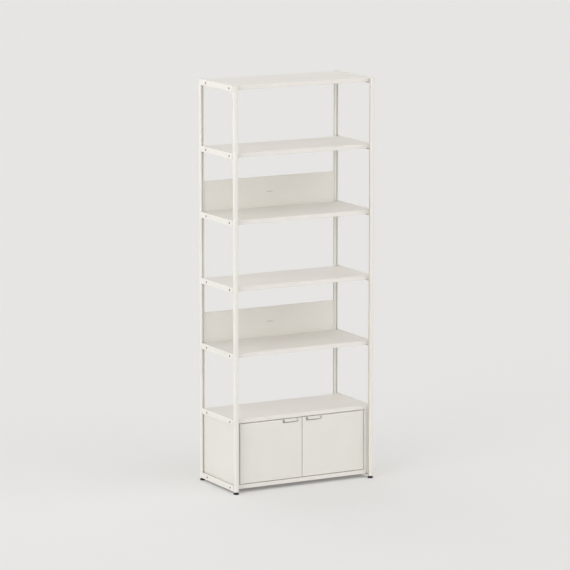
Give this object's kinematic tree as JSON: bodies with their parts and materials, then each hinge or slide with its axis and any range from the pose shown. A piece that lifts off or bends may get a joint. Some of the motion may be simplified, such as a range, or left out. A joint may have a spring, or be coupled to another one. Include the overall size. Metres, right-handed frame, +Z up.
{
  "type": "bookcase with cabinet doors",
  "caption": "Tall free-standing metal shelving unit on slim slotted posts, with folded sheet shelves, low back panels and a two-door cabinet at the bottom.",
  "frame": {"origin": "on the floor, under the middle of the footprint", "axes": "+X to the unit's right seen from the front, +Y to the back, +Z up; the doors face -Y"},
  "size_m": [0.835, 0.41, 2.1455],
  "materials": {
    "coated_post": "off-white fine powder coat on aluminium extrusion",
    "coated_rail": "off-white fine powder coat",
    "coated_shelf": "off-white fine powder coat on sheet steel",
    "coated_panel": "off-white fine powder coat on sheet steel",
    "coated_door": "off-white fine powder coat on sheet steel",
    "coated_rivet": "coated with the sheet",
    "white_cap": "moulded, colour of the posts",
    "dark_screw": "black oxide, hexagon socket",
    "zinc_screw": "zinc plated",
    "zinc_steel": "zinc plated",
    "white_nylon": "moulded",
    "magnet": "nickel plated",
    "black_rubber_pad": "black, slightly satin",
    "black_steel": "black oxide"
  },
  "bodies": {
    "frame": {"back_panel_lower": "coated_panel", "back_panel_upper": "coated_panel", "cabinet_back": "coated_panel", "cabinet_rivets": "coated_rivet", "cabinet_side_left": "coated_door", "cabinet_side_right": "coated_door", "catch_magnets": "magnet", "door_jamb_left": "coated_door", "door_jamb_right": "coated_door", "door_stop": "coated_door", "foot_pad_back_left": "black_rubber_pad", "foot_pad_back_right": "black_rubber_pad", "foot_pad_front_left": "black_rubber_pad", "foot_pad_front_right": "black_rubber_pad", "foot_stem_back_left": "black_steel", "foot_stem_back_right": "black_steel", "foot_stem_front_left": "black_steel", "foot_stem_front_right": "black_steel", "hinge_pins_left": "zinc_steel", "hinge_pins_right": "zinc_steel", "panel_screws": "zinc_screw", "panel_slot_nuts": "zinc_steel", "post_back_left": "coated_post", "post_back_right": "coated_post", "post_caps": "white_cap", "post_front_left": "coated_post", "post_front_right": "coated_post", "rail_connectors": "coated_rail", "shelf_1": "coated_shelf", "shelf_2": "coated_shelf", "shelf_3": "coated_shelf", "shelf_4": "coated_shelf", "shelf_5": "coated_shelf", "shelf_6": "coated_shelf", "shelf_7": "coated_shelf", "shelf_screws": "dark_screw", "shelf_standoffs": "zinc_steel", "side_rail_left_1": "coated_rail", "side_rail_left_2": "coated_rail", "side_rail_left_3": "coated_rail", "side_rail_left_4": "coated_rail", "side_rail_left_5": "coated_rail", "side_rail_left_6": "coated_rail", "side_rail_left_7": "coated_rail", "side_rail_right_1": "coated_rail", "side_rail_right_2": "coated_rail", "side_rail_right_3": "coated_rail", "side_rail_right_4": "coated_rail", "side_rail_right_5": "coated_rail", "side_rail_right_6": "coated_rail", "side_rail_right_7": "coated_rail"},
    "door_left": {"door_left": "coated_door", "door_handle_left": "coated_door", "handle_rivets_left": "coated_rivet", "hinge_bushes_left": "white_nylon"},
    "door_right": {"door_right": "coated_door", "door_handle_right": "coated_door", "handle_rivets_right": "coated_rivet", "hinge_bushes_right": "white_nylon"}
  },
  "joints": [
    {"name": "door_left_hinge", "type": "hinge", "parent": "frame", "child": "door_left", "pos_m": [-0.3626, -0.1655, 0.207], "axis": [0, 0, -1], "range_deg": [0, 105]},
    {"name": "door_right_hinge", "type": "hinge", "parent": "frame", "child": "door_right", "pos_m": [0.3626, -0.1655, 0.207], "axis": [0, 0, 1], "range_deg": [0, 105]}
  ]
}
